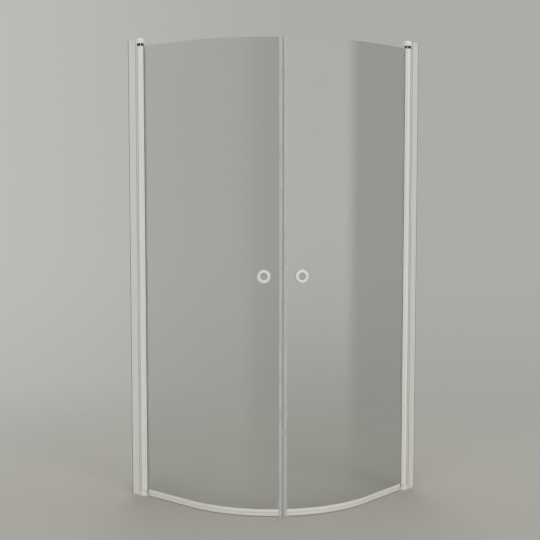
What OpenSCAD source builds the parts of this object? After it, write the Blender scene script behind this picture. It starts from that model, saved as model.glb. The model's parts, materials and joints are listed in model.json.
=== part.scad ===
// Corner shower enclosure with a rounded front and two curved pivot doors.
// Millimetres, +Z up. The room's corner is at [-size / 2, size / 2], the left wall is the
// plane x = -size / 2, the right wall is the plane y = size / 2, and the floor is z = 0.

/* [Enclosure] */
// From each wall to the outer face of the opposite wall profile
size = 900; // [820:10:1000]
// Height of the top brackets above the floor
height = 2000; // [1800:10:2100]
// Radius of the curved glass at the middle of its thickness
glass_radius = 530; // [480:5:550]
// Thickness of the glass
glass_t = 6; // [5:1:8]
// Top of the glass below the top of the brackets
glass_drop = 32; // [30:1:60]
// Bottom of the glass above the floor
glass_bottom = 22; // [21.5:0.5:26]
// Clipped top corner of the glass beside the post
glass_clip = 10; // [9:0.5:14]

/* [Wall profiles] */
// Width of a wall profile, front to back
profile_w = 40; // [38:1:46]
// Reach of a wall profile from the wall, sealing strip included
profile_reach = 44; // [38:1:46]
// Wall thickness of the wall profile
profile_t = 2; // [1.5:0.1:2.5]
// Top of the wall profiles below the top of the brackets
profile_drop = 5; // [3:0.5:8]
// Thickness of the sealing strip between profile and wall
wall_seal_t = 2.5; // [1.5:0.5:4]
// Radius of the holes for the wall screws
fixing_hole_r = 2.75; // [2.2:0.05:3.5]
// First wall screw above the floor, and last one below the top of the brackets
fixing_end = 150; // [100:10:300]
// Distance between the two middle wall screws
fixing_span = 600; // [300:20:800]

/* [Adjusting profiles] */
// Wall thickness of the adjusting profile
adjuster_t = 1.8; // [1.4:0.1:2.2]
// Gap between wall profile and adjusting profile
adjuster_gap = 1.2; // [0.4:0.1:1.3]
// Length of adjusting profile that is tucked into the wall profile
adjuster_tuck = 26; // [22:1:28]
// Lips of the hollow nose from the hinge axis
nose_back = 5; // [5:0.5:9]
// Radius of the screws that lock the adjusting profile
lock_screw_r = 1.75; // [1.5:0.05:2.2]

/* [Hinges] */
// Hinge axis from the wall
hinge_from_wall = 58; // [56:1:66]
// Radius of the round door post
post_r = 15.5; // [14.8:0.1:16]
// Running gap between the door post and the hollow nose
post_gap = 1; // [0.6:0.1:1.5]
// Radius of the pivot pins
pin_r = 4; // [3:0.5:5]
// Length of a pivot pin inside its bush
pin_in_bush = 25; // [15:1:40]
// Running clearance around a pivot pin
pin_clearance = 0.05; // [0.02:0.01:0.1]
// Height of the top bracket
bracket_h = 21; // [18:1:30]
// Radius of the round end of the top bracket
bracket_r = 17.5; // [16:0.5:19]
// Gap between the door post and the top bracket
collar_h = 12; // [8:1:16]
// Height of the foot bracket
foot_h = 20; // [16:1:21]
// Radius of the round end of the foot bracket
foot_r = 19; // [18.5:0.1:20]

/* [Door posts] */
// Wall thickness of the door post
post_t = 1.8; // [1.4:0.1:2]
// Radius of the bore that holds the bushes
post_bore_r = 7; // [6.5:0.1:7.2]
// Thickness of the glazing gasket
gasket_t = 1.2; // [0.8:0.1:1.5]
// Reach of the inner flange behind the glass, from the hinge axis
flange_reach = 28; // [24:1:34]

/* [Door edges] */
// Gap between the noses of the two centre seals
seal_gap = 0.4; // [0.3:0.1:0.9]
// Width of a centre seal
seal_w = 16.5; // [15:0.1:20]
// Thickness of a centre seal
seal_t = 11; // [10:0.2:12]
// Width of the magnet strip
magnet_w = 4; // [3:0.5:4.5]
// Thickness of the magnet strip
magnet_t = 6; // [4:0.5:6.5]
// Top of the bottom rail above the floor
rail_top = 31; // [28:1:40]
// Bottom of the bottom rail above the floor
rail_bottom = 17.5; // [16:0.5:18]
// Thickness of the bottom rail
rail_t = 10; // [9.5:0.5:12]
// Groove that shows between the bottom rail and its seal
rail_groove = 1; // [0.5:0.5:2]

/* [Knobs] */
// Outer radius of the knob outside
knob_r = 28; // [27:0.5:34]
// Outer radius of the knob on the shower's side
inner_knob_r = 25; // [24:0.5:29]
// Radius of the dished middle
knob_dish_r = 14; // [11:0.5:15]
// Height of a knob over its washer
knob_h = 14; // [12:1:18]
// Thickness of the outer knob under its dish
outer_floor_t = 8; // [6:0.5:9]
// Thickness of the inner knob under its dish
inner_floor_t = 9; // [8:0.5:10]
// Radius of the screw that joins the knobs
knob_screw_r = 2.5; // [2:0.25:3]
// Centre of the knobs above the floor
knob_z = 1002; // [850:1:1150]
// Centre of a knob from the seam between the doors, along the glass
knob_from_seam = 77; // [60:1:120]

/* [Hidden] */
// Small measures that all pieces share
fit_gap = 0.05;
rest_gap = 0.1;
edge_r = 0.8;
fine = 96;
round_fine = 240;

// The glass line: the hinge axes lie on it, in the middle of the profiles
glass_line = size - profile_w / 2;
arc_at = glass_line - glass_radius;
glass_top = height - glass_drop;
profile_top = height - profile_drop;
glass_outer = glass_radius + glass_t / 2;
glass_inner = glass_radius - glass_t / 2;
seam_angle = -45;

// Sections around a hinge axis. There x runs to the seam and y runs into the shower.
wall_x = -hinge_from_wall;
profile_back_x = wall_x + wall_seal_t;
profile_front_x = wall_x + profile_reach;
channel_half = profile_w / 2 - profile_t;
adjuster_half = channel_half - adjuster_gap;
adjuster_back_x = profile_front_x - adjuster_tuck;
nose_r = post_r + post_gap;
nose_seal_w = 4;
nose_seal_rest = 0.3;
nose_skin = 0.6;
nose_seal_depth = adjuster_t - nose_skin;
lock_screw_inset = 12;
lock_screw_x = profile_front_x - lock_screw_inset;
lock_screw_clearance = 0.25;

// Heights
bracket_bottom = height - bracket_h;
post_top = bracket_bottom - collar_h;
bush_flange_t = 1;
bush_flange_inset = 1.5;
bush_flange_r = post_r - bush_flange_inset;
bush_past_pin = 5;
bush_l = pin_in_bush + bush_past_pin;
post_bottom = foot_h + rest_gap + bush_flange_t;
bracket_skin = 4;
pin_in_bracket = min(bracket_h, foot_h) - bracket_skin;
spigot_l = 24;
spigot_wall = 3;
spigot_screw_wall = 6;
spigot_end_gap = 1.05;
lock_screw_zs = [foot_h + spigot_l / 2, height / 2, bracket_bottom - spigot_l / 2];
fixing_zs = [fixing_end, (height - fixing_span) / 2, (height + fixing_span) / 2, height - fixing_end];

// Door post section
core_r = post_bore_r + post_t;
slot_half = glass_t / 2 + gasket_t;
glass_edge_x = core_r + gasket_t;
gasket_lip = 5;
gasket_front_x = post_r + gasket_lip;
gasket_inset = 6;
gasket_back_x = flange_reach - gasket_inset;
web_turns = [125, 235];

// Door edges, as distances along the glass from the seam
nose_inset = 0.15;
seal_nose_r = seal_t / 2 - nose_inset;
nose_pos = seal_gap / 2 + seal_nose_r;
seal_end = seal_gap / 2 + seal_w;
magnet_forward = 1;
magnet_pos = nose_pos - magnet_forward;
magnet_room = 0.1;
magnet_inset = 5;
nose_to_glass = 3.5;
glass_end = nose_pos + nose_to_glass;
rail_from_foot = 14.5;
rail_start_x = foot_r + rail_from_foot;
rail_end_gap = 0.5;
tongue_t = 3;
tongue_l = 2.5;
rail_seal_inset = 0.5;
rail_seal_t = rail_t - 2 * rail_seal_inset;
lip_h = 3;
lip_t = 2;

// Knob, outward from the middle of the glass
washer_t = 1;
washer_inset = 2;
washer_r = knob_r - washer_inset;
inner_washer_r = inner_knob_r - washer_inset;
knob_ring_w = knob_r - knob_dish_r;
knob_edge_r = 5.5;
screw_head_r = knob_screw_r + 2;
screw_head_h = 1.6;
screw_grip = 7;
screw_room = 0.2;
sleeve_t = 3;
sleeve_r = knob_screw_r + screw_room + sleeve_t;
sleeve_end_gap = 0.2;
glass_hole_clearance = 0.3;
glass_hole_r = sleeve_r + glass_hole_clearance;
cap_t = 0.8;
glass_sag = glass_inner - sqrt(pow(glass_inner, 2) - pow(inner_washer_r, 2));
knob_outer_seat = glass_t / 2 + washer_t;
knob_inner_seat = -glass_t / 2 - washer_t - glass_sag;
screw_head_seat = knob_outer_seat + outer_floor_t - screw_head_h - rest_gap;

WHITE = [0.85, 0.85, 0.82];
RING = [0.88, 0.88, 0.85];
GREY = [0.7, 0.7, 0.68];
SMOKED = [0.5, 0.52, 0.5, 0.5];
CLEAR_SEAL = [0.72, 0.7, 0.72];
BLACK = [0.08, 0.08, 0.08];
STEEL = [0.7, 0.7, 0.72];

FRAME_NODES = ["wall_seal", "wall_profile", "adjusting_profile", "nose_seal", "lock_screws",
    "screw_caps", "top_bracket", "foot_bracket", "top_pivot_pin", "lower_pivot_pin",
    "lift_stop_collar"];
DOOR_NODES = ["door_post", "top_bush", "lower_bush", "glazing_gasket", "door_glass",
    "bottom_rail", "bottom_seal", "centre_seal", "centre_magnet", "outer_knob", "inner_knob",
    "knob_cap", "knob_screw", "knob_sleeve", "knob_washers"];

// Angle at the arc's centre for a distance along the glass from the seam
function seam_turn(distance) = distance / glass_radius * 180 / PI;

// Places

// Moves a piece drawn around the left hinge axis to its place
module at_left_hinge() {
    translate([hinge_from_wall - size / 2, size / 2 - glass_line, 0])
        children();
}

// Moves a piece drawn around the centre of the curved glass to its place
module at_arc_centre() {
    translate([arc_at - size / 2, size / 2 - arc_at, 0])
        children();
}

// The right side is the left side mirrored across the diagonal of the room's corner
module on_side(side) {
    if (side == "left_")
        children();
    else
        mirror([1, 1, 0])
            children();
}

// Stands a piece on the glass at the knob: z runs outward from the middle of the glass
module at_knob() {
    at_arc_centre()
        rotate([0, 0, seam_angle - seam_turn(knob_from_seam)])
            translate([glass_radius, 0, knob_z])
                rotate([0, 90, 0])
                    children();
}

// Shapes

// A rectangle between two corners with its corners rounded
module rounded_area(low, high, r) {
    translate([low.x + r, low.y])
        square([high.x - low.x - 2 * r, high.y - low.y]);
    translate([low.x, low.y + r])
        square([high.x - low.x, high.y - low.y - 2 * r]);
    for (x = [low.x + r, high.x - r])
        for (y = [low.y + r, high.y - r])
            translate([x, y])
                circle(r, $fn = fine);
}

// A round disc whose upper edge is rounded
module round_topped_disc(r, h, edge) {
    rotate_extrude($fn = round_fine) {
        square([r - edge, h]);
        square([r, h - edge]);
        translate([r - edge, h - edge])
            circle(edge, $fn = fine);
    }
}

// A bar along x whose two upper edges are rounded
module round_topped_bar(x_from, x_to, half_w, h, edge) {
    translate([x_from, 0, 0])
        rotate([90, 0, 90])
            linear_extrude(x_to - x_from) {
                translate([-half_w, 0])
                    square([2 * half_w, h - edge]);
                translate([edge - half_w, 0])
                    square([2 * (half_w - edge), h]);
                for (y = [edge - half_w, half_w - edge])
                    translate([y, h - edge])
                        circle(edge, $fn = fine);
            }
}

// A section along the left door's glass, from x_from beside the hinge axis to a distance from
// the seam. The section's x is outward from the middle of the glass, and its y is up.
module along_glass(x_from, end_at) {
    at_left_hinge()
        translate([x_from, 0, 0])
            mirror([0, 1, 0])
                rotate([90, 0, 90])
                    linear_extrude(arc_at - hinge_from_wall - x_from)
                        children();
    at_arc_centre()
        rotate([0, 0, -90])
            rotate_extrude(angle = 90 + seam_angle - seam_turn(end_at), $fn = round_fine)
                translate([glass_radius, 0])
                    children();
}

// A block that follows the curve between two distances from the seam, t thick
module along_seam(start_at, end_at, t, h) {
    at_arc_centre()
        rotate([0, 0, seam_angle - seam_turn(end_at)])
            rotate_extrude(angle = seam_turn(end_at - start_at), $fn = round_fine)
                translate([glass_radius - t / 2, 0])
                    square([t, h]);
}

// Places an upright piece at a distance from the seam: x is outward, y is toward the seam
module at_seam(distance) {
    at_arc_centre()
        rotate([0, 0, seam_angle - seam_turn(distance)])
            translate([glass_radius, 0, 0])
                children();
}

// Holes for the screws that lock the adjusting profile, drilled from the shower's side
module lock_screw_holes(r, length) {
    for (z = lock_screw_zs)
        translate([lock_screw_x, profile_w / 2 + 1, z])
            rotate([90, 0, 0])
                cylinder(r = r, h = length, $fn = fine);
}

// Frame

// Soft strip that seals the wall profile to the wall
module wall_seal() {
    inset = 0.5;
    hole_margin = 3;
    color(BLACK)
        at_left_hinge()
            difference() {
                translate([wall_x, inset - profile_w / 2, 0])
                    cube([wall_seal_t, profile_w - 2 * inset, profile_top]);
                for (z = fixing_zs)
                    translate([wall_x - 1, 0, z])
                        rotate([0, 90, 0])
                            cylinder(r = fixing_hole_r + hole_margin, h = wall_seal_t + 2, $fn = fine);
            }
}

// Channel that is screwed to the wall
module wall_profile() {
    color(WHITE)
        at_left_hinge()
            difference() {
                linear_extrude(profile_top)
                    difference() {
                        rounded_area([profile_back_x, -profile_w / 2],
                            [profile_front_x, profile_w / 2], edge_r);
                        translate([profile_back_x + profile_t, -channel_half])
                            square([profile_reach, 2 * channel_half]);
                    }
                for (z = fixing_zs)
                    translate([profile_back_x - 1, 0, z])
                        rotate([0, 90, 0])
                            cylinder(r = fixing_hole_r, h = profile_t + 2, $fn = fine);
                lock_screw_holes(lock_screw_r + lock_screw_clearance, profile_t + 2);
            }
}

// Telescopic profile with the hollow nose in which the door post turns
module adjusting_profile() {
    color(WHITE)
        at_left_hinge()
            difference() {
                translate([0, 0, foot_h])
                    linear_extrude(bracket_bottom - foot_h)
                        difference() {
                            translate([adjuster_back_x, -adjuster_half])
                                square([-nose_back - adjuster_back_x, 2 * adjuster_half]);
                            circle(nose_r, $fn = round_fine);
                            difference() {
                                translate([adjuster_back_x - 1, adjuster_t - adjuster_half])
                                    square([1 - nose_back - adjuster_t - adjuster_back_x,
                                        2 * (adjuster_half - adjuster_t)]);
                                circle(nose_r + adjuster_t, $fn = round_fine);
                            }
                            translate([-nose_r - nose_seal_depth, -nose_seal_w / 2])
                                square([post_r, nose_seal_w]);
                        }
                lock_screw_holes(lock_screw_r + fit_gap, profile_w / 2);
            }
}

// Soft strip in the hollow nose that wipes the door post
module nose_seal() {
    inner_r = post_r + nose_seal_rest;
    outer_x = nose_r + nose_seal_depth;
    color(BLACK)
        at_left_hinge()
            translate([0, 0, foot_h])
                linear_extrude(bracket_bottom - foot_h)
                    difference() {
                        translate([-outer_x, -nose_seal_w / 2])
                            square([outer_x - post_r / 2, nose_seal_w]);
                        circle(inner_r, $fn = round_fine);
                    }
}

// Screws that lock the adjusting profile, the top bracket and the foot bracket
module lock_screws() {
    head_r = 3.6;
    head_h = 2.4;
    shank_l = profile_w / 2 - channel_half + adjuster_gap + adjuster_t + 6;
    color(STEEL)
        at_left_hinge()
            for (z = lock_screw_zs)
                translate([lock_screw_x, profile_w / 2, z])
                    rotate([90, 0, 0]) {
                        cylinder(r = lock_screw_r, h = shank_l, $fn = fine);
                        difference() {
                            translate([0, 0, -head_h])
                                cylinder(r = head_r, h = head_h, $fn = fine);
                            for (turn = [0, 90])
                                rotate([0, 0, turn])
                                    translate([-2, -0.4, -head_h - 1])
                                        cube([4, 0.8, 2.2]);
                        }
                    }
}

// Snap-on caps over the screw heads
module screw_caps() {
    cap_r = 6.5;
    cap_h = 4.2;
    wall = 1.2;
    color(WHITE)
        at_left_hinge()
            for (z = lock_screw_zs)
                translate([lock_screw_x, profile_w / 2, z])
                    rotate([-90, 0, 0])
                        difference() {
                            round_topped_disc(cap_r, cap_h, 1);
                            translate([0, 0, -1])
                                cylinder(r = cap_r - wall, h = 1 + cap_h - wall, $fn = fine);
                        }
}

// Block that fills the wall profile's channel beside a bracket's arm
module channel_block(h) {
    back_x = profile_back_x + profile_t + fit_gap;
    translate([back_x, -adjuster_half, 0])
        cube([profile_front_x - back_x, 2 * adjuster_half, h]);
}

// Spigot of a bracket inside the adjusting profile
module spigot() {
    half_w = adjuster_half - adjuster_t - fit_gap;
    x_to = -nose_r - adjuster_t - spigot_end_gap;
    difference() {
        translate([adjuster_back_x, -half_w, 0])
            cube([x_to - adjuster_back_x, 2 * half_w, spigot_l]);
        translate([adjuster_back_x + spigot_wall, spigot_wall - half_w, -1])
            cube([x_to - adjuster_back_x - 2 * spigot_wall,
                2 * half_w - spigot_wall - spigot_screw_wall, spigot_l + 2]);
    }
}

// Top bracket: closes the wall profile and carries the top pivot pin under its domed end
module top_bracket() {
    edge = 8.5;
    arm_edge = 1;
    arm_h = profile_top - bracket_bottom;
    color(WHITE)
        at_left_hinge()
            difference() {
                union() {
                    translate([0, 0, bracket_bottom]) {
                        channel_block(arm_h);
                        round_topped_bar(profile_front_x, 0, adjuster_half, arm_h, arm_edge);
                        round_topped_disc(bracket_r, bracket_h, edge);
                    }
                    translate([0, 0, bracket_bottom - spigot_l])
                        spigot();
                }
                translate([0, 0, bracket_bottom - 1])
                    cylinder(r = pin_r, h = pin_in_bracket + 1, $fn = fine);
                lock_screw_holes(lock_screw_r + fit_gap, profile_w / 2);
            }
}

// Foot bracket: stands on the floor and carries the lower pivot pin and the door's weight
module foot_bracket() {
    edge = 3;
    color(WHITE)
        at_left_hinge()
            difference() {
                union() {
                    channel_block(foot_h);
                    round_topped_bar(profile_front_x, 0, adjuster_half, foot_h, edge);
                    round_topped_disc(foot_r, foot_h, edge);
                    translate([0, 0, foot_h])
                        spigot();
                }
                translate([0, 0, foot_h - pin_in_bracket])
                    cylinder(r = pin_r, h = pin_in_bracket + 1, $fn = fine);
                lock_screw_holes(lock_screw_r + fit_gap, profile_w / 2);
            }
}

// A pivot pin with chamfered ends
module pivot_pin(z_from, z_to) {
    chamfer = 0.8;
    color(STEEL)
        at_left_hinge()
            translate([0, 0, z_from]) {
                cylinder(r1 = pin_r - chamfer, r2 = pin_r, h = chamfer, $fn = fine);
                translate([0, 0, chamfer])
                    cylinder(r = pin_r, h = z_to - z_from - 2 * chamfer, $fn = fine);
                translate([0, 0, z_to - z_from - chamfer])
                    cylinder(r1 = pin_r, r2 = pin_r - chamfer, h = chamfer, $fn = fine);
            }
}

module top_pivot_pin() {
    pivot_pin(post_top - pin_in_bush, bracket_bottom + pin_in_bracket);
}

module lower_pivot_pin() {
    pivot_pin(foot_h - pin_in_bracket, foot_h + pin_in_bush);
}

// Split collar clipped round the top pin, so that the door can't lift off the lower pin
module lift_stop_collar() {
    clearance = 0.4;
    slit_w = 2 * pin_r - 0.6;
    mouth_w = 2 * pin_r + 10;
    slit_turn = -43;
    collar_r = post_r - 2;
    z_from = post_top + bush_flange_t + clearance;
    color(BLACK)
        at_left_hinge()
            translate([0, 0, z_from])
                difference() {
                    cylinder(r = collar_r, h = bracket_bottom - z_from, $fn = fine);
                    translate([0, 0, -1])
                        cylinder(r = pin_r + fit_gap, h = collar_h + 2, $fn = fine);
                    rotate([0, 0, slit_turn])
                        translate([0, 0, -1])
                            linear_extrude(collar_h + 2)
                                polygon([
                                    [0, -slit_w / 2], [pin_r, -slit_w / 2], [post_r, -mouth_w / 2],
                                    [post_r, mouth_w / 2], [pin_r, slit_w / 2], [0, slit_w / 2]
                                ]);
                }
}

// Doors

// Section of the door post: a round tube with a slot for the glass and a flange behind it
module post_section() {
    difference() {
        union() {
            circle(post_r, $fn = round_fine);
            translate([core_r, slot_half])
                square([flange_reach - core_r, post_t]);
        }
        circle(post_bore_r, $fn = round_fine);
        translate([core_r, -slot_half])
            square([flange_reach, 2 * slot_half]);
        difference() {
            circle(post_r - post_t, $fn = round_fine);
            circle(core_r, $fn = round_fine);
            translate([0, -slot_half - post_t])
                square([post_r, 2 * (slot_half + post_t)]);
            for (turn = web_turns)
                rotate(turn)
                    translate([0, -post_t / 2])
                        square([post_r, post_t]);
        }
    }
}

// Room for the end of the bottom rail, cut from what reaches past the foot bracket
module rail_end_room() {
    translate([rail_start_x - rail_end_gap, -post_r, 0])
        cube([flange_reach, 2 * post_r, rail_top + rail_end_gap]);
}

// Extruded post on which the door turns
module door_post() {
    color(WHITE)
        at_left_hinge()
            difference() {
                translate([0, 0, post_bottom])
                    linear_extrude(post_top - post_bottom)
                        post_section();
                rail_end_room();
            }
}

// A bush in the door post's bore, with its flange at z = 0 and below
module bush() {
    difference() {
        union() {
            cylinder(r = post_bore_r, h = bush_l, $fn = fine);
            translate([0, 0, -bush_flange_t])
                cylinder(r = bush_flange_r, h = bush_flange_t, $fn = fine);
        }
        translate([0, 0, -bush_flange_t - 1])
            cylinder(r = pin_r + pin_clearance, h = bush_l + 4, $fn = fine);
        // The flange stops short of the glass, which passes over the foot bracket
        translate([core_r, -post_r, -bush_flange_t - 1])
            cube([post_r, 2 * post_r, bush_flange_t + 1]);
    }
}

module top_bush() {
    color(BLACK)
        at_left_hinge()
            translate([0, 0, post_top])
                mirror([0, 0, 1])
                    bush();
}

module lower_bush() {
    color(BLACK)
        at_left_hinge()
            translate([0, 0, post_bottom])
                bush();
}

// Soft gasket that holds the glass in the post's slot and against its flange
module glazing_gasket() {
    z_from = max(post_bottom, glass_bottom);
    color(BLACK)
        at_left_hinge()
            difference() {
                translate([0, 0, z_from])
                    linear_extrude(post_top - z_from)
                        difference() {
                            translate([core_r, -slot_half]) {
                                square([gasket_front_x - core_r, slot_half]);
                                translate([0, slot_half])
                                    square([gasket_back_x - core_r, slot_half]);
                            }
                            translate([glass_edge_x, -glass_t / 2])
                                square([flange_reach, glass_t]);
                        }
                rail_end_room();
            }
}

// Smoked toughened glass: straight beside the post, then curved to the seam
module door_glass() {
    color(SMOKED)
        difference() {
            along_glass(glass_edge_x, glass_end)
                translate([-glass_t / 2, glass_bottom])
                    square([glass_t, glass_top - glass_bottom]);
            at_knob()
                translate([0, 0, -2 * glass_t])
                    cylinder(r = glass_hole_r, h = 4 * glass_t, $fn = fine);
            at_left_hinge()
                translate([glass_edge_x, 0, glass_top])
                    rotate([0, 45, 0])
                        cube([sqrt(2) * glass_clip, 2 * glass_t, sqrt(2) * glass_clip], center = true);
        }
}

// Rail clamped on the lower edge of the glass
module bottom_rail() {
    color(WHITE)
        along_glass(rail_start_x, seal_end)
            difference() {
                rounded_area([-rail_t / 2, rail_bottom], [rail_t / 2, rail_top], edge_r);
                translate([-glass_t / 2, glass_bottom])
                    square([glass_t, rail_top]);
                translate([-tongue_t / 2, rail_bottom - 1])
                    square([tongue_t, 1 + tongue_l]);
            }
}

// Seal strip under the bottom rail, with a lip that touches the floor
module bottom_seal() {
    top = rail_bottom - rail_groove;
    half = rail_seal_t / 2;
    color(CLEAR_SEAL)
        along_glass(rail_start_x, seal_end) {
            polygon([
                [-half, top], [-half, 2 * lip_h], [half - lip_t - lip_h, lip_h],
                [half - lip_t, 0], [half, 0], [half, top]
            ]);
            translate([-tongue_t / 2, top - 1])
                square([tongue_t, 1 + rail_groove + tongue_l]);
        }
}

// Seal pushed on the glass edge at the seam: a round nose with a pocket for the magnet
module centre_seal() {
    color(CLEAR_SEAL)
        difference() {
            union() {
                along_seam(nose_pos, seal_end, seal_t, glass_top);
                at_seam(nose_pos)
                    cylinder(r = seal_nose_r, h = glass_top, $fn = fine);
            }
            translate([0, 0, glass_bottom - fit_gap])
                along_seam(glass_end - fit_gap, seal_end + 1, glass_t + 2 * fit_gap, height);
            at_seam(magnet_pos)
                translate([-magnet_t / 2 - magnet_room, -magnet_w / 2 - magnet_room, magnet_inset])
                    cube([magnet_t + 2 * magnet_room, magnet_w + 2 * magnet_room,
                        glass_top - 2 * magnet_inset]);
        }
}

// Magnet strip sealed in the centre seal
module centre_magnet() {
    color(BLACK)
        at_seam(magnet_pos)
            translate([-magnet_t / 2, -magnet_w / 2, magnet_inset + magnet_room])
                cube([magnet_t, magnet_w, glass_top - 2 * (magnet_inset + magnet_room)]);
}

// A round knob from its seat outward: a ring with a rounded face, and a floor in its middle
module dished_knob(r, floor_t) {
    shoulder = knob_h - knob_edge_r;
    dish_r = r - knob_ring_w;
    rotate_extrude($fn = fine) {
        square([r - knob_edge_r, floor_t]);
        translate([dish_r, 0])
            square([knob_ring_w, shoulder]);
        translate([dish_r + knob_edge_r, 0])
            square([knob_ring_w - 2 * knob_edge_r, knob_h]);
        for (x = [dish_r + knob_edge_r, r - knob_edge_r])
            translate([x, shoulder])
                circle(knob_edge_r, $fn = fine);
    }
}

// Knob on the outside of the glass, with the screw's head sunk in its floor
module outer_knob() {
    color(RING)
        at_knob()
            difference() {
                translate([0, 0, knob_outer_seat])
                    dished_knob(knob_r, outer_floor_t);
                cylinder(r = knob_screw_r + screw_room, h = knob_h, $fn = fine);
                translate([0, 0, screw_head_seat])
                    cylinder(r = screw_head_r + rest_gap, h = knob_h, $fn = fine);
            }
}

// Knob on the shower's side, with the screw's thread in its floor
module inner_knob() {
    thread_l = screw_grip + rest_gap;
    color(RING)
        at_knob()
            difference() {
                translate([0, 0, knob_inner_seat])
                    mirror([0, 0, 1])
                        dished_knob(inner_knob_r, inner_floor_t);
                translate([0, 0, knob_inner_seat - thread_l])
                    cylinder(r = knob_screw_r + fit_gap, h = thread_l + 1, $fn = fine);
            }
}

// Disc in the dish that covers the screw's head
module knob_cap() {
    color(GREY)
        at_knob()
            translate([0, 0, knob_outer_seat + outer_floor_t])
                cylinder(r = knob_dish_r - fit_gap, h = cap_t, $fn = fine);
}

// Screw from the outer knob through the glass to the inner knob
module knob_screw() {
    z_from = knob_inner_seat - screw_grip;
    color(STEEL)
        at_knob()
            difference() {
                union() {
                    translate([0, 0, z_from])
                        cylinder(r = knob_screw_r, h = screw_head_seat - z_from + 1, $fn = fine);
                    translate([0, 0, screw_head_seat])
                        cylinder(r = screw_head_r, h = screw_head_h, $fn = fine);
                }
                for (turn = [0, 90])
                    rotate([0, 0, turn])
                        translate([-knob_screw_r, -0.5, screw_head_seat + screw_head_h - 1])
                            cube([2 * knob_screw_r, 1, 2]);
            }
}

// Sleeve that keeps the screw off the edge of the hole in the glass
module knob_sleeve() {
    half_l = glass_t / 2 - sleeve_end_gap;
    color(CLEAR_SEAL)
        at_knob()
            difference() {
                translate([0, 0, -half_l])
                    cylinder(r = sleeve_r, h = 2 * half_l, $fn = fine);
                translate([0, 0, -glass_t])
                    cylinder(r = knob_screw_r + screw_room, h = 2 * glass_t, $fn = fine);
            }
}

// Soft washers between the knobs and the glass, cut to the curve of the glass
module knob_washers() {
    reach = knob_outer_seat - knob_inner_seat;
    color(CLEAR_SEAL)
        difference() {
            at_knob() {
                cylinder(r = washer_r, h = knob_outer_seat, $fn = fine);
                translate([0, 0, knob_inner_seat])
                    cylinder(r = inner_washer_r, h = reach, $fn = fine);
            }
            at_knob()
                translate([0, 0, knob_inner_seat - 1])
                    cylinder(r = sleeve_r, h = reach + 2, $fn = fine);
            at_arc_centre()
                translate([0, 0, knob_z - knob_r])
                    difference() {
                        cylinder(r = glass_outer, h = 2 * knob_r, $fn = round_fine);
                        translate([0, 0, -1])
                            cylinder(r = glass_inner, h = 2 * knob_r + 2, $fn = round_fine);
                    }
        }
}

for (side = ["left_", "right_"]) {
    on_side(side) {
        wall_seal();
        wall_profile();
        adjusting_profile();
        nose_seal();
        lock_screws();
        screw_caps();
        top_bracket();
        foot_bracket();
        top_pivot_pin();
        lower_pivot_pin();
        lift_stop_collar();
        door_post();
        top_bush();
        lower_bush();
        glazing_gasket();
        door_glass();
        bottom_rail();
        bottom_seal();
        centre_seal();
        centre_magnet();
        outer_knob();
        inner_knob();
        knob_cap();
        knob_screw();
        knob_sleeve();
        knob_washers();
    }
}
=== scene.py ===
"""Looks of a corner shower enclosure with two curved, grey-tinted glass doors.

Metres, +Z up. The room's corner lies toward -X and +Y, and the rounded front faces +X and -Y. Pieces
are made for the left side, and the right side is their mirror image across the corner's diagonal.
"""

import json
import math

import bmesh
import bpy
from mathutils import Matrix, Vector


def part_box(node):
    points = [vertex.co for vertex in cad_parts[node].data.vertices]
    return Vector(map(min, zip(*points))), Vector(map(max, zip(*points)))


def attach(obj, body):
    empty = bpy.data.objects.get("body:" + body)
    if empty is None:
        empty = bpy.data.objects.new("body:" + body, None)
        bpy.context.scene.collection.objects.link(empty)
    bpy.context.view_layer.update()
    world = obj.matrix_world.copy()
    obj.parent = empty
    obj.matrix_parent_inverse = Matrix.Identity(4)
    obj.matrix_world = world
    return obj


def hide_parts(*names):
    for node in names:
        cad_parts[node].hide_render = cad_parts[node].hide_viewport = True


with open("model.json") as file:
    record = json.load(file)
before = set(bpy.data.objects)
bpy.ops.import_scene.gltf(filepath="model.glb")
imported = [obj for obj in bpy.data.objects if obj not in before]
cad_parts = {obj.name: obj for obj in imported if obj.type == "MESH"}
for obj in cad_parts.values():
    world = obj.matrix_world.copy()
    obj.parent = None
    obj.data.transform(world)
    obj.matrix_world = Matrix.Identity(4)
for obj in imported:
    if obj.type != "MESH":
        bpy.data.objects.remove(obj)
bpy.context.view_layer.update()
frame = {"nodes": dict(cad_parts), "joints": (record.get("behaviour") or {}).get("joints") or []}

MM = 0.001
SIDES = ("left", "right")

# Sections of the panes, rails and seals
GLASS_RADIUS = 530 * MM
GLASS_T = 6 * MM
RAIL_T = 10 * MM
FLOOR_SEAL_T = 9 * MM
TONGUE_T = 3 * MM
SEAM_SEAL_T = 11 * MM

# How high the floor seal's soft lip reaches, which is as high as its painted shade goes, and how far
# from the seam the painted shade on the seam seal's nose reaches
LIP_H = 3.2 * MM
NOSE_SHADE_REACH = 5.6 * MM

# The knobs. Seats are outward from the middle of the glass, and floors are outward from the seat
OUTER_R = 28 * MM
INNER_R = 25 * MM
RING_W = 14 * MM
KNOB_H = 14 * MM
CROWN_R = 5.5 * MM
OUTER_FLOOR = 8 * MM
INNER_FLOOR = 9 * MM
OUTER_SEAT = 4 * MM
# Behind the glass the washer also fills the hollow of the curve
INNER_SEAT = -4.502 * MM

# The screw's way through the knobs and the glass
OUTER_BORE_R = 2.7 * MM
INNER_BORE_R = 2.55 * MM
HEAD_R = 4.6 * MM
HEAD_DEPTH = 1.7 * MM
HOLE_R = 6 * MM

# How finely curves are cut, what counts as a sharp edge, and how near two corners are one and the same
ARC_STEP = math.radians(1.5)
SHARP = math.radians(35)
SAME_PLACE = 0.001 * MM

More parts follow.
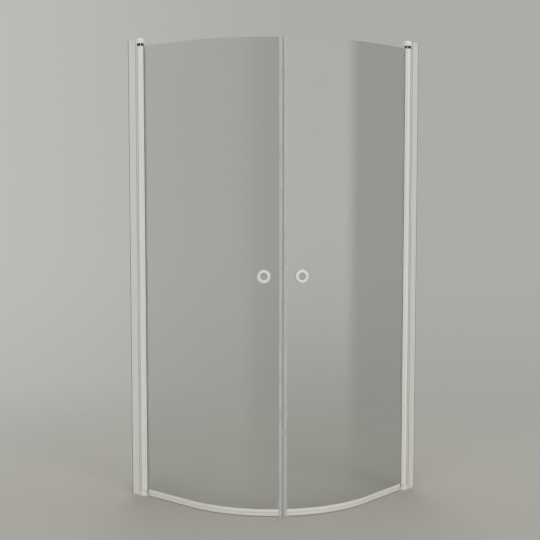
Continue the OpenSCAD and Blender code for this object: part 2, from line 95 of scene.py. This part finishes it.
# Places that come from the joints and the solids
HINGES = {joint["name"]: Vector(joint["pos_m"]) for joint in frame["joints"]}
LEFT_HINGE = HINGES["left_door_hinge"]
ARC_CENTRE = Vector((HINGES["right_door_hinge"].x - GLASS_RADIUS, LEFT_HINGE.y + GLASS_RADIUS, 0))
GLASS_LOW, GLASS_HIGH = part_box("left_door_glass")
RAIL_LOW, RAIL_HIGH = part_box("left_bottom_rail")
FLOOR_SEAL_LOW, FLOOR_SEAL_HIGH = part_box("left_bottom_seal")
SEAM_SEAL_LOW, SEAM_SEAL_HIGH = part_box("left_centre_seal")
KNOB_CENTRE = sum(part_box("left_knob_sleeve"), Vector()) / 2

# The doors meet on the upright plane x = -y, at this turn round the arc's centre
SEAM_TURN = math.radians(-45)

# Mirrors the left side onto the right one: x becomes -y, and y becomes -x
MIRROR = Matrix(((0, -1, 0, 0), (-1, 0, 0, 0), (0, 0, 1, 0), (0, 0, 0, 1)))


# Materials

def colour(code):
    """A linear colour from an sRGB hex value such as #C8C7C2."""
    shares = [int(code[i:i + 2], 16) / 255 for i in (1, 3, 5)]
    return [s / 12.92 if s <= 0.04045 else ((s + 0.055) / 1.055) ** 2.4 for s in shares] + [1.0]


def add(owner, kind, settings=None, links=None):
    """Adds a node to a material or world, with its settings and the outputs that its inputs read."""
    node = owner.node_tree.nodes.new(kind)
    for name, value in (settings or {}).items():
        if isinstance(name, int) or name in node.inputs:
            node.inputs[name].default_value = value
        else:
            setattr(node, name, value)
    for name, source in (links or {}).items():
        owner.node_tree.links.new(source, node.inputs[name])
    return node


def new_material(name):
    """A material without nodes."""
    material = bpy.data.materials.new(name)
    material.use_nodes = True
    material.node_tree.nodes.clear()
    return material


def show(material, shader):
    """Puts a shader on the material's surface."""
    add(material, "ShaderNodeOutputMaterial", links={"Surface": shader})
    return material


def grain(material, size, stretch=(1, 1, 1)):
    """Noise on Object coordinates whose blobs are about size wide, in metres, drawn out by stretch."""
    where = add(material, "ShaderNodeTexCoord")
    scale = [1 / (size * s) for s in stretch]
    place = add(material, "ShaderNodeMapping", {"Scale": scale}, {"Vector": where.outputs["Object"]})
    noise = add(material, "ShaderNodeTexNoise", {"Scale": 1, "Detail": 3},
                {"Vector": place.outputs["Vector"]})
    return noise.outputs["Fac"]


def two_tones(material, noise, dark, light):
    """A colour between dark and light, as the noise says."""
    ramp = add(material, "ShaderNodeValToRGB", links={"Fac": noise})
    for element, position, code in zip(ramp.color_ramp.elements, (0.3, 0.7), (dark, light)):
        element.position = position
        element.color = colour(code)
    return ramp.outputs["Color"]


def between(owner, value, low, high, start=0.3, stop=0.7):
    """A value that goes smoothly from low to high while its source goes from start to stop."""
    settings = {
        "interpolation_type": "SMOOTHSTEP",
        "From Min": start, "From Max": stop, "To Min": low, "To Max": high,
    }
    return add(owner, "ShaderNodeMapRange", settings, {"Value": value}).outputs["Result"]


def relief(material, noise, height):
    """A bump of a real height, in metres."""
    bump = add(material, "ShaderNodeBump", {"Distance": height, "Strength": 0.3}, {"Height": noise})
    return bump.outputs["Normal"]


def powder_coated_aluminium(name, dark, light):
    """Extruded aluminium with a satin off-white powder coat: a soft sheen over fine orange peel."""
    material = new_material(name)
    peel = grain(material, 1.5 * MM)
    # Faint die lines along the extrusion, drawn 6 mm apart so that they show
    drawn = grain(material, 6 * MM, stretch=(1, 1, 60))
    shader = add(material, "ShaderNodeBsdfPrincipled", {"IOR": 1.5}, {
        "Base Color": two_tones(material, drawn, dark, light),
        "Roughness": between(material, peel, 0.34, 0.46),
        "Normal": relief(material, peel, 0.02 * MM),
    })
    return show(material, shader.outputs["BSDF"])


def gloss_white_abs():
    """Moulded ABS of the knobs: smooth and glossy, with a slight unevenness in its gloss."""
    material = new_material("gloss_white_abs")
    cloud = grain(material, 9 * MM)
    gloss = {"IOR": 1.53, "Coat Weight": 0.2, "Coat Roughness": 0.1}
    shader = add(material, "ShaderNodeBsdfPrincipled", gloss, {
        "Base Color": two_tones(material, cloud, "#CDCDCA", "#D2D2CF"),
        "Roughness": between(material, cloud, 0.24, 0.32),
    })
    return show(material, shader.outputs["BSDF"])


def dish_cap_painted_shade():
    """Moulded disc in the knob's dish, painted grey as painted shade in the dish: a spark-eroded mould
    leaves a dull fine grain.
    """
    material = new_material("dish_cap_painted_shade")
    spark = grain(material, 0.8 * MM)
    shader = add(material, "ShaderNodeBsdfPrincipled", {"IOR": 1.53}, {
        "Base Color": two_tones(material, spark, "#9C9C97", "#A4A49F"),
        "Roughness": between(material, spark, 0.45, 0.6),
        "Normal": relief(material, spark, 0.02 * MM),
    })
    return show(material, shader.outputs["BSDF"])


def matt_white_nylon():
    """Moulded nylon of the screw caps: off-white and dull."""
    material = new_material("matt_white_nylon")
    cloud = grain(material, 3 * MM)
    shader = add(material, "ShaderNodeBsdfPrincipled", {"IOR": 1.53}, {
        "Base Color": two_tones(material, cloud, "#CBCBC4", "#D1D1CA"),
        "Roughness": between(material, cloud, 0.5, 0.6),
    })
    return show(material, shader.outputs["BSDF"])


def grey_toughened_glass():
    """Grey body-tinted toughened glass: mirror smooth and clear, with edges darker than its face."""
    material = new_material("grey_toughened_glass")
    body = add(material, "ShaderNodeBsdfPrincipled", {
        "Base Color": (1, 1, 1, 1), "Roughness": 0.0, "IOR": 1.52, "Transmission Weight": 1.0})
    # Lamps shine through the pane, as they do through real glass
    lit = add(material, "ShaderNodeBsdfTransparent", {"Color": (0.92, 0.92, 0.92, 1)})
    path = add(material, "ShaderNodeLightPath")
    mixed = add(material, "ShaderNodeMixShader", links={
        0: path.outputs["Is Shadow Ray"], 1: body.outputs["BSDF"], 2: lit.outputs["BSDF"]})
    # The tint takes about a quarter of the light on its way through 6 mm
    tint = add(material, "ShaderNodeVolumeAbsorption", {"Color": colour("#9A9C99"), "Density": 66.0})
    add(material, "ShaderNodeOutputMaterial", links={
        "Surface": mixed.outputs["Shader"], "Volume": tint.outputs["Volume"]})
    return material


def milky_vinyl(name, dark, light, clear, roughness):
    """Extruded soft vinyl: milky, with a waxy sheen, and light passes a little way in."""
    material = new_material(name)
    cloud = grain(material, 12 * MM, stretch=(1, 1, 8))
    shader = add(material, "ShaderNodeBsdfPrincipled", {"IOR": 1.53, "Transmission Weight": clear}, {
        "Base Color": two_tones(material, cloud, dark, light),
        "Roughness": between(material, cloud, roughness - 0.04, roughness + 0.04),
    })
    return show(material, shader.outputs["BSDF"])


def black_epdm_and_painted_shadow():
    """Extruded black rubber of the wall profiles' strips: dull, with faint pores, and on the wall seal
    painted shadow too.
    """
    material = new_material("black_epdm_and_painted_shadow")
    pores = grain(material, 1.2 * MM)
    shader = add(material, "ShaderNodeBsdfPrincipled", {"IOR": 1.52}, {
        "Base Color": two_tones(material, pores, "#161616", "#1E1E1D"),
        "Roughness": between(material, pores, 0.55, 0.7),
        "Normal": relief(material, pores, 0.03 * MM),
    })
    return show(material, shader.outputs["BSDF"])


def dark_acetal():
    """Moulded dark grey acetal of the bushes and collars: smooth, with a low gloss."""
    material = new_material("dark_acetal")
    cloud = grain(material, 4 * MM)
    shader = add(material, "ShaderNodeBsdfPrincipled", {"IOR": 1.48}, {
        "Base Color": two_tones(material, cloud, "#404040", "#474746"),
        "Roughness": between(material, cloud, 0.32, 0.42),
    })
    return show(material, shader.outputs["BSDF"])


def ground_steel():
    """Ground stainless steel of the pins and screws: a satin shine, with fine rings round it."""
    material = new_material("ground_stainless_steel")
    rings = grain(material, 0.5 * MM, stretch=(20, 20, 1))
    shader = add(material, "ShaderNodeBsdfPrincipled", {"Metallic": 1.0}, {
        "Base Color": two_tones(material, rings, "#C3C3C4", "#CDCDCE"),
        "Roughness": between(material, rings, 0.24, 0.34),
    })
    return show(material, shader.outputs["BSDF"])


def ferrite_rubber():
    """Extruded magnet strip: dark brown rubber full of ferrite powder, almost without gloss."""
    material = new_material("ferrite_rubber")
    powder = grain(material, 1 * MM)
    shader = add(material, "ShaderNodeBsdfPrincipled", {"IOR": 1.5}, {
        "Base Color": two_tones(material, powder, "#3A3634", "#46413E"),
        "Roughness": between(material, powder, 0.65, 0.8),
    })
    return show(material, shader.outputs["BSDF"])


WALL_COAT = powder_coated_aluminium("powder_coated_aluminium", "#C4C4C0", "#CACAC6")
DOOR_COAT = powder_coated_aluminium("door_powder_coat", "#CDCDC9", "#D3D3CF")
KNOB_WHITE = gloss_white_abs()
DISH_PAINTED_SHADE = dish_cap_painted_shade()
NYLON = matt_white_nylon()
GLASS = grey_toughened_glass()

# One vinyl, in the tint, clearness and roughness that each soft piece shows
SEAM_VINYL = milky_vinyl("milky_vinyl", "#B7B6B7", "#C0BFC0", 0.2, 0.3)
# The nose's grey is painted shade in the groove at the seam
NOSE_PAINTED_SHADE = milky_vinyl("nose_vinyl_painted_shade", "#A8A7A8", "#B1B0B1", 0.1, 0.35)
# The lip's darker tint is painted shade where the seal meets the floor
LIP_PAINTED_SHADE = milky_vinyl("lip_vinyl_painted_shade", "#85837F", "#8F8D89", 0.1, 0.4)
FLOOR_VINYL = milky_vinyl("pale_vinyl", "#D0CFCC", "#D7D6D3", 0.1, 0.38)
WASHER_VINYL = milky_vinyl("clear_vinyl", "#D4D4D4", "#DADADA", 0.6, 0.2)
GASKET_VINYL = milky_vinyl("gasket_vinyl", "#E3E3DF", "#E8E8E4", 0.1, 0.45)

SEAL_BLACK_AND_PAINTED_SHADOW = black_epdm_and_painted_shadow()
ACETAL = dark_acetal()
STEEL = ground_steel()
FERRITE = ferrite_rubber()


# Making pieces

def finished(bm, name, material, node, body):
    """A piece made from a bmesh: smooth but for its sharp edges, in place of a node, on a body."""
    mesh = bpy.data.meshes.new(name)
    bm.to_mesh(mesh)
    bm.free()
    mesh.shade_smooth()
    mesh.set_sharp_from_angle(angle=SHARP)
    mesh.materials.append(material)
    piece = bpy.data.objects.new(name, mesh)
    bpy.context.scene.collection.objects.link(piece)
    # Large faces keep their own direction, so that only the rounded edges between them shade
    even = piece.modifiers.new("even_faces", "WEIGHTED_NORMAL")
    even.keep_sharp = True
    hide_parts(node)
    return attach(piece, body)


def on_both_sides(make, name, material, node, body):
    """Makes a piece for the left side, and its mirror image for the right side."""
    pieces = []
    for side in SIDES:
        bm = make()
        bmesh.ops.remove_doubles(bm, verts=bm.verts, dist=SAME_PLACE)
        if side == "right":
            bmesh.ops.transform(bm, matrix=MIRROR, verts=bm.verts)
        bmesh.ops.recalc_face_normals(bm, faces=bm.faces)
        carrier = body if body == "frame" else f"{side}_{body}"
        pieces.append(finished(bm, f"{side}_{name}", material, f"{side}_{node}", carrier))
    return pieces


def partly(piece, material, chosen):
    """Gives a second material to the faces of a piece whose middle is chosen."""
    piece.data.materials.append(material)
    for face in piece.data.polygons:
        if chosen(face.center):
            face.material_index = 1


def rounded(corners, radius, steps=3):
    """An outline with its corners cut round. A corner is (x, y), or (x, y, its own radius)."""
    points = []
    for i, corner in enumerate(corners):
        here = Vector(corner[:2])
        r = corner[2] if len(corner) > 2 else radius
        if r == 0:
            points.append(here)
            continue
        before = (Vector(corners[i - 1][:2]) - here).normalized()
        after = (Vector(corners[(i + 1) % len(corners)][:2]) - here).normalized()
        half = before.angle(after) / 2
        start = here + before * (r / math.tan(half))
        stop = here + after * (r / math.tan(half))
        centre = here + (before + after).normalized() * (r / math.sin(half))
        turn = (start - centre).angle_signed(stop - centre)
        for k in range(steps + 1):
            points.append(centre + Matrix.Rotation(-turn * k / steps, 2) @ (start - centre))
    return points


def drawn_out(outline, along):
    """A face with this outline, drawn out along a way into a bar. Gives the bar and its new end."""
    bm = bmesh.new()
    bm.faces.new([bm.verts.new(point) for point in outline])
    end = bmesh.ops.extrude_face_region(bm, geom=bm.faces[:])["geom"]
    corners = [part for part in end if isinstance(part, bmesh.types.BMVert)]
    bmesh.ops.translate(bm, verts=corners, vec=along)
    return bm, end


def along_glass(outline, x_from, end_x):
    """Sweeps an outline of (outward, up) along the left glass, from x_from and through the curve.

    It ends on an upright plane through the arc's centre, at the turn that end_x gives: the largest x
    of the solid that it stands for.
    """
    start = [(x_from, LEFT_HINGE.y - out, up) for out, up in outline]
    bm, end = drawn_out(start, (ARC_CENTRE.x - x_from, 0, 0))
    turn = math.asin((end_x - ARC_CENTRE.x) / (GLASS_RADIUS + max(out for out, up in outline)))
    bmesh.ops.spin(bm, geom=end, cent=ARC_CENTRE, axis=(0, 0, 1), angle=turn,
                   steps=math.ceil(turn / ARC_STEP))
    return bm


def turned(outline, steps=72):
    """An outline of (radius, outward) turned round the left knob's axis."""
    outward = Vector((KNOB_CENTRE.x - ARC_CENTRE.x, KNOB_CENTRE.y - ARC_CENTRE.y, 0))
    bm = bmesh.new()
    points = [bm.verts.new((radius, 0, out)) for radius, out in outline]
    for i, point in enumerate(points):
        bm.edges.new((points[i - 1], point))
    bmesh.ops.spin(bm, geom=bm.verts[:] + bm.edges[:], cent=(0, 0, 0), axis=(0, 0, 1), angle=math.tau,
                   steps=steps, use_merge=True)
    bmesh.ops.remove_doubles(bm, verts=bm.verts, dist=SAME_PLACE)
    bmesh.ops.dissolve_degenerate(bm, edges=bm.edges, dist=SAME_PLACE)
    place = Matrix.Translation(KNOB_CENTRE) @ outward.to_track_quat("Z", "Y").to_matrix().to_4x4()
    bmesh.ops.transform(bm, matrix=place, verts=bm.verts)
    return bm


def softened(node, radius):
    """A copy of a node with its sharp edges rounded a little, as on a real extrusion.

    Its loose triangles are joined into whole flat faces first. Hollow edges stay sharp, because they are
    where another piece sits.
    """
    flat, corner = math.radians(0.3), math.radians(40)
    bm = bmesh.new()
    bm.from_mesh(frame["nodes"][node].data)
    bmesh.ops.remove_doubles(bm, verts=bm.verts, dist=2 * SAME_PLACE)
    bmesh.ops.dissolve_limit(bm, angle_limit=flat, verts=bm.verts, edges=bm.edges)
    edges = [edge for edge in bm.edges if edge.is_convex and edge.calc_face_angle(0) > corner]
    bmesh.ops.bevel(bm, geom=edges, offset=radius, offset_type="OFFSET", affect="EDGES", segments=2,
                    profile=0.5, material=-1, clamp_overlap=True)
    return bm


# Glass

def glass_pane():
    """The pane: 6 mm thick, with ground arrises and a clipped top corner beside the post."""
    arris, clip, row = 0.6 * MM, 10 * MM, 40 * MM
    half = GLASS_T / 2
    low, high = GLASS_LOW.z, GLASS_HIGH.z
    corners = [(-half, low), (half, low), (half, high), (-half, high)]
    bm = along_glass(rounded(corners, arris, steps=2), GLASS_LOW.x, GLASS_HIGH.x)
    slope = Vector((-1, 0, 1)).normalized()
    corner = Vector((GLASS_LOW.x, LEFT_HINGE.y, high)) - slope * (clip / math.sqrt(2))
    whole = bm.verts[:] + bm.edges[:] + bm.faces[:]
    cut = bmesh.ops.bisect_plane(bm, geom=whole, plane_co=corner, plane_no=slope, clear_outer=True)
    rim = [part for part in cut["geom_cut"] if isinstance(part, bmesh.types.BMEdge)]
    bmesh.ops.contextual_create(bm, geom=rim)
    # Rows above and below the knob keep the faces at its hole short
    for z in (KNOB_CENTRE.z - row, KNOB_CENTRE.z + row):
        whole = bm.verts[:] + bm.edges[:] + bm.faces[:]
        bmesh.ops.bisect_plane(bm, geom=whole, plane_co=(0, 0, z), plane_no=(0, 0, 1))
    return bm


def drilled(pane, side):
    """Cuts the hole for the knob's sleeve through a pane."""
    reach = 20 * MM
    bm = turned([(0, -reach), (HOLE_R, -reach), (HOLE_R, reach), (0, reach)], steps=48)
    if side == "right":
        bmesh.ops.transform(bm, matrix=MIRROR, verts=bm.verts)
    bmesh.ops.recalc_face_normals(bm, faces=bm.faces)
    mesh = bpy.data.meshes.new("drill")
    bm.to_mesh(mesh)
    bm.free()
    drill = bpy.data.objects.new("drill", mesh)
    bpy.context.scene.collection.objects.link(drill)
    hole = pane.modifiers.new("hole", "BOOLEAN")
    hole.object = drill
    hole.solver = "EXACT"
    # The hole is cut first, and then the faces are made even
    pane.modifiers.move(1, 0)
    bpy.context.view_layer.update()
    graph = bpy.context.evaluated_depsgraph_get()
    pane.data = bpy.data.meshes.new_from_object(pane.evaluated_get(graph))
    pane.modifiers.clear()
    bpy.data.objects.remove(drill)


panes = on_both_sides(glass_pane, "glass_pane", GLASS, "door_glass", "door")
for side, pane in zip(SIDES, panes):
    drilled(pane, side)


# Rail and seals

def bottom_rail():
    """The rail clamped on the glass: a small U with rounded lips and a slot for the seal's tongue."""
    edge, lip, slot_depth = 0.8 * MM, 0.9 * MM, 2.5 * MM
    half, slot, tongue = RAIL_T / 2, GLASS_T / 2, TONGUE_T / 2
    low, high, roof = RAIL_LOW.z, RAIL_HIGH.z, GLASS_LOW.z
    corners = [
        (-half, low), (-tongue, low, 0), (-tongue, low + slot_depth, 0), (tongue, low + slot_depth, 0),
        (tongue, low, 0), (half, low), (half, high, lip), (slot, high, lip), (slot, roof, 0),
        (-slot, roof, 0), (-slot, high, lip), (-half, high, lip),
    ]
    return along_glass(rounded(corners, edge), RAIL_LOW.x, RAIL_HIGH.x)


def floor_seal():
    """The seal under the rail: a soft strip whose lip on the floor is set back a little."""
    edge, fine, tongue_h = 0.8 * MM, 0.3 * MM, 3.5 * MM
    half, tongue = FLOOR_SEAL_T / 2, TONGUE_T / 2
    low, high = FLOOR_SEAL_LOW.z, FLOOR_SEAL_HIGH.z
    shoulder = high - tongue_h
    lip, foot, knee, back = 2 * MM, 1 * MM, 3 * MM, 1.2 * MM
    corners = [
        (-half, shoulder), (-half, low + 2 * knee), (half - lip - knee, low + knee, 1.5 * MM),
        (half - back - foot, low, fine), (half - back, low, fine), (half - back, low + LIP_H, fine),
        (half, low + LIP_H), (half, shoulder), (tongue, shoulder, 0),
        (tongue, high, 0), (-tongue, high, 0), (-tongue, shoulder, 0),
    ]
    return along_glass(rounded(corners, edge), FLOOR_SEAL_LOW.x, FLOOR_SEAL_HIGH.x)


def by_seam(distance, out):
    """A place at a distance from the seam along the left glass, and outward from its middle."""
    turn = SEAM_TURN - distance / GLASS_RADIUS
    radius = GLASS_RADIUS + out
    return ARC_CENTRE.x + radius * math.cos(turn), ARC_CENTRE.y + radius * math.sin(turn)


def seam_seal():
    """The clip-on seal at the seam: a round hollow nose and two legs that grip the glass."""
    half, slot = SEAM_SEAL_T / 2, GLASS_T / 2
    legs_end, glass_end = 16.7 * MM, 9 * MM
    tip, edge = 0.5 * MM, 1.2 * MM
    nose_r, nose_at = 5.35 * MM, 5.55 * MM
    root = nose_at + 2 * MM
    nose = [math.radians(90 + 180 * k / 16) for k in range(17)]
    corners = [(legs_end, slot, tip), (legs_end, half, edge), (root, half, 0)]
    corners += [(nose_at + nose_r * math.cos(a), nose_r * math.sin(a), 0) for a in nose]
    corners += [(root, -half, 0), (legs_end, -half, edge), (legs_end, -slot, tip)]
    corners += [(glass_end, -slot, 0), (glass_end, slot, 0)]
    low, high = SEAM_SEAL_LOW.z, SEAM_SEAL_HIGH.z
    foot = [(*by_seam(*point), low) for point in rounded(corners, 0)]
    return drawn_out(foot, (0, 0, high - low))[0]


on_both_sides(bottom_rail, "clamp_rail", DOOR_COAT, "bottom_rail", "door")

# The soft lip on the floor is painted darker than the strip: painted shade where the door meets the
# floor
for seal in on_both_sides(floor_seal, "floor_seal", FLOOR_VINYL, "bottom_seal", "door"):
    partly(seal, LIP_PAINTED_SHADE, lambda centre: centre.z < LIP_H)

# The soft nose at the seam is painted greyer than the legs: painted shade in the groove between the two
# noses
for seal in on_both_sides(seam_seal, "seam_seal", SEAM_VINYL, "centre_seal", "door"):
    partly(seal, NOSE_PAINTED_SHADE, lambda centre: abs(centre.x + centre.y) / math.sqrt(2) < NOSE_SHADE_REACH)


# Knobs

def knob_outline(radius, floor, bore):
    """Half a knob's section from its seat outward: a crowned ring around a dish, with a bore behind."""
    dish, shoulder = radius - RING_W, KNOB_H - CROWN_R
    # The crown runs down to the floor of the dish, or stops short at a plain wall above it
    stop = math.pi - math.asin(max(0, floor - shoulder) / CROWN_R)
    turns = [math.pi / 2 + (stop - math.pi / 2) * k / 10 for k in range(11)]
    corners = [(bore, 0, 0), (radius, 0), (radius, KNOB_H, CROWN_R)]
    corners += [(dish + CROWN_R * (1 + math.cos(a)), shoulder + CROWN_R * math.sin(a), 0) for a in turns]
    if floor < shoulder:
        corners.append((dish, floor, 0.3 * MM))
    corners += [(0, floor, 0), (0, floor / 2, 0), (bore, floor / 2, 0)]
    return rounded(corners, 0.5 * MM, steps=8)


def outer_knob():
    """The knob outside, with a sunk place for the screw's head in the floor of its dish."""
    outline = knob_outline(OUTER_R, OUTER_FLOOR, OUTER_BORE_R)[:-3]
    head = OUTER_FLOOR - HEAD_DEPTH
    outline += [(HEAD_R, OUTER_FLOOR), (HEAD_R, head), (OUTER_BORE_R, head)]
    return turned([(radius, OUTER_SEAT + out) for radius, out in outline])


def inner_knob():
    """The knob on the shower's side, whose floor holds the screw's thread."""
    outline = knob_outline(INNER_R, INNER_FLOOR, INNER_BORE_R)
    return turned([(radius, INNER_SEAT - out) for radius, out in outline])


def knob_cap():
    """The disc in the dish, slightly crowned."""
    seat, radius = OUTER_SEAT + OUTER_FLOOR, OUTER_R - RING_W - 0.05 * MM
    # Shares of the radius, and heights in millimetres
    crowned = [(0, 0.8), (0.35, 0.78), (0.7, 0.7), (0.93, 0.58), (1, 0.4), (1, 0), (0, 0)]
    return turned([(radius * share, seat + height * MM) for share, height in crowned])


on_both_sides(outer_knob, "outer_dished_knob", KNOB_WHITE, "outer_knob", "door")
on_both_sides(inner_knob, "inner_dished_knob", KNOB_WHITE, "inner_knob", "door")
# The dish cap's grey is painted shade in the knob's dish
on_both_sides(knob_cap, "dish_cap", DISH_PAINTED_SHADE, "knob_cap", "door")


# Profiles and posts with softened edges: their body, coat and radius

EXTRUSIONS = {
    "wall_profile": ("frame", WALL_COAT, 0.6 * MM),
    "adjusting_profile": ("frame", WALL_COAT, 0.5 * MM),
    "door_post": ("door", DOOR_COAT, 0.3 * MM),
}
for node, (body, coat, radius) in EXTRUSIONS.items():
    on_both_sides(lambda: softened(f"left_{node}", radius), f"soft_edged_{node}", coat, node, body)


# The other nodes keep their shape and get their finish

FINISHES = {
    # The wall seal's black is also painted shadow where the profile meets the wall
    "wall_seal": SEAL_BLACK_AND_PAINTED_SHADOW,
    "nose_seal": SEAL_BLACK_AND_PAINTED_SHADOW,
    "lock_screws": STEEL,
    "screw_caps": NYLON,
    "top_bracket": DOOR_COAT,
    "foot_bracket": DOOR_COAT,
    "top_pivot_pin": STEEL,
    "lower_pivot_pin": STEEL,
    "lift_stop_collar": ACETAL,
    "top_bush": ACETAL,
    "lower_bush": ACETAL,
    "glazing_gasket": GASKET_VINYL,
    "centre_magnet": FERRITE,
    "knob_screw": STEEL,
    "knob_sleeve": WASHER_VINYL,
    "knob_washers": WASHER_VINYL,
}
for side in SIDES:
    for name, finish in FINISHES.items():
        mesh = frame["nodes"][f"{side}_{name}"].data
        mesh.materials.clear()
        mesh.materials.append(finish)


# Floor, backdrop, light and camera

# Painted window reflections, which the panes mirror but which light nothing: how bright, the turns in
# degrees between which each comes and goes, seen from above, and the rise of direction over which it
# comes up
PAINTED_WINDOW_REFLECTIONS = [
    {"strength": 3.8, "comes": (-44, -37), "goes": (20, 42), "rises": (-0.32, -0.04)},
    {"strength": 1.0, "comes": (-178, -150), "goes": (-85, -58), "rises": (-0.40, -0.20)},
]

# The way from left to right as the photograph shows the enclosure, level with the floor
VIEW_ACROSS = (0.762, 0.648, 0)


def looked_at(owner):
    """1 for rays from the camera, off a gloss or through glass, and 0 for light that falls on things."""
    path = add(owner, "ShaderNodeLightPath")
    either = path.outputs["Is Camera Ray"]
    for kind in ("Is Glossy Ray", "Is Transmission Ray"):
        more = add(owner, "ShaderNodeMath", {"operation": "MAXIMUM"}, {0: either, 1: path.outputs[kind]})
        either = more.outputs["Value"]
    return either


def pale_floor():
    """A plain pale floor that fades out with distance, so that it melts into the backdrop."""
    bm = bmesh.new()
    bmesh.ops.create_circle(bm, cap_ends=True, segments=96, radius=12)
    mesh = bpy.data.meshes.new("floor")
    bm.to_mesh(mesh)
    bm.free()
    material = new_material("pale_floor")
    where = add(material, "ShaderNodeTexCoord").outputs["Object"]
    length = add(material, "ShaderNodeVectorMath", {"operation": "LENGTH"}, {0: where})
    # It looks a little darker than the light that it throws back on the enclosure
    tones = {"data_type": "RGBA", 6: colour("#CFCDC8"), 7: colour("#A6A59F")}
    tone = add(material, "ShaderNodeMix", tones, {0: looked_at(material)})
    near = add(material, "ShaderNodeBsdfDiffuse", links={"Color": tone.outputs[2]})
    clear = add(material, "ShaderNodeBsdfTransparent")
    # It is whole within 0.7 m of the enclosure's middle, and gone at 3.2 m
    mixed = add(material, "ShaderNodeMixShader", links={
        0: between(material, length.outputs["Value"], 0, 1, 0.7, 3.2),
        1: near.outputs["BSDF"],
        2: clear.outputs["BSDF"],
    })
    mesh.materials.append(show(material, mixed.outputs["Shader"]))
    floor = bpy.data.objects.new("floor", mesh)
    # A hair below the feet, so that no two faces share a plane
    floor.location.z = -0.2 * MM
    floor.visible_glossy = False
    bpy.context.scene.collection.objects.link(floor)


def backdrop():
    """A pale backdrop that camera, gloss and glass see, and a plain soft light for everything else.

    Seen from the front it is a little lighter on the left, and everywhere a little darker toward the
    floor: painted shade. Gloss also sees painted reflections of a tall bright window to the right and a
    faint one to the left, which light nothing.
    """
    world = bpy.data.worlds.new("backdrop")
    bpy.context.scene.world = world
    world.use_nodes = True
    world.node_tree.nodes.clear()
    direction = add(world, "ShaderNodeTexCoord").outputs["Generated"]
    dot = {"operation": "DOT_PRODUCT", 1: VIEW_ACROSS}
    across = add(world, "ShaderNodeVectorMath", dot, {0: direction}).outputs["Value"]
    # Painted shade: the backdrop is a little lighter on the left and darker on the right, as in a room's
    # corner
    tones = {"data_type": "RGBA", 6: colour("#BDBCB8"), 7: colour("#ACADA8")}
    shade = add(world, "ShaderNodeMix", tones, {0: between(world, across, 0, 1, -0.28, 0.06)})
    parts = add(world, "ShaderNodeSeparateXYZ", links={0: direction}).outputs
    turn = add(world, "ShaderNodeMath", {"operation": "ARCTAN2"}, {0: parts["Y"], 1: parts["X"]})
    glossy = add(world, "ShaderNodeLightPath").outputs["Is Glossy Ray"]
    # Painted shade: the backdrop darkens toward the floor
    strength = between(world, parts["Z"], 0.83, 1, -0.31, -0.06)
    # Painted reflections: windows that only gloss sees and that light nothing
    for window in PAINTED_WINDOW_REFLECTIONS:
        comes = [math.radians(angle) for angle in window["comes"]]
        goes = [math.radians(angle) for angle in window["goes"]]
        glow = glossy
        for share in (between(world, turn.outputs["Value"], 0, 1, *comes),
                      between(world, turn.outputs["Value"], 1, 0, *goes),
                      between(world, parts["Z"], 0, 1, *window["rises"])):
            product = add(world, "ShaderNodeMath", {"operation": "MULTIPLY"}, {0: glow, 1: share})
            glow = product.outputs["Value"]
        total = add(world, "ShaderNodeMath", {"operation": "MULTIPLY_ADD", 1: window["strength"]},
                    {0: glow, 2: strength})
        strength = total.outputs["Value"]
    seen = add(world, "ShaderNodeBackground", links={"Color": shade.outputs[2], "Strength": strength})
    light = add(world, "ShaderNodeBackground", {"Color": colour("#F6F6F6"), "Strength": 0.8})
    mixed = add(world, "ShaderNodeMixShader", links={
        0: looked_at(world), 1: light.outputs["Background"], 2: seen.outputs["Background"]})
    add(world, "ShaderNodeOutputWorld", links={"Surface": mixed.outputs["Shader"]})


def soft_light(name, place, width, strength, code):
    """A wide soft lamp, so far away that it lights the top and the foot of the enclosure alike."""
    lamp = bpy.data.lights.new(name, "SUN")
    lamp.angle = math.radians(width)
    lamp.energy = strength
    lamp.color = colour(code)[:3]
    stand = bpy.data.objects.new(name, lamp)
    stand.location = place
    middle = Vector((0, 0, 0.9))
    stand.rotation_euler = (middle - Vector(place)).to_track_quat("-Z", "Y").to_euler()
    bpy.context.scene.collection.objects.link(stand)


def camera():
    """A camera at the photograph's place, worked out from the outline of the enclosure in it."""
    view = bpy.data.cameras.new("camera")
    view.sensor_width = 36.0
    view.lens = 73.25
    stand = bpy.data.objects.new("camera", view)
    stand.location = (3.1306, -3.7160, 1.4047)
    azimuth, dip = math.radians(40.363), math.radians(4.802)
    stand.rotation_euler = (math.pi / 2 - dip, 0, azimuth)
    bpy.context.scene.collection.objects.link(stand)
    bpy.context.scene.camera = stand


pale_floor()
backdrop()
soft_light("key", (4.4, -0.9, 3.5), 30, 0.69, "#FFFCF7")
soft_light("fill", (0.8, -4.4, 3.5), 30, 0.47, "#FFFBF5")
soft_light("top", (-1.3, 1.3, 4.4), 20, 0.45, "#FFFDFA")
camera()
bpy.context.scene.view_settings.view_transform = "Standard"
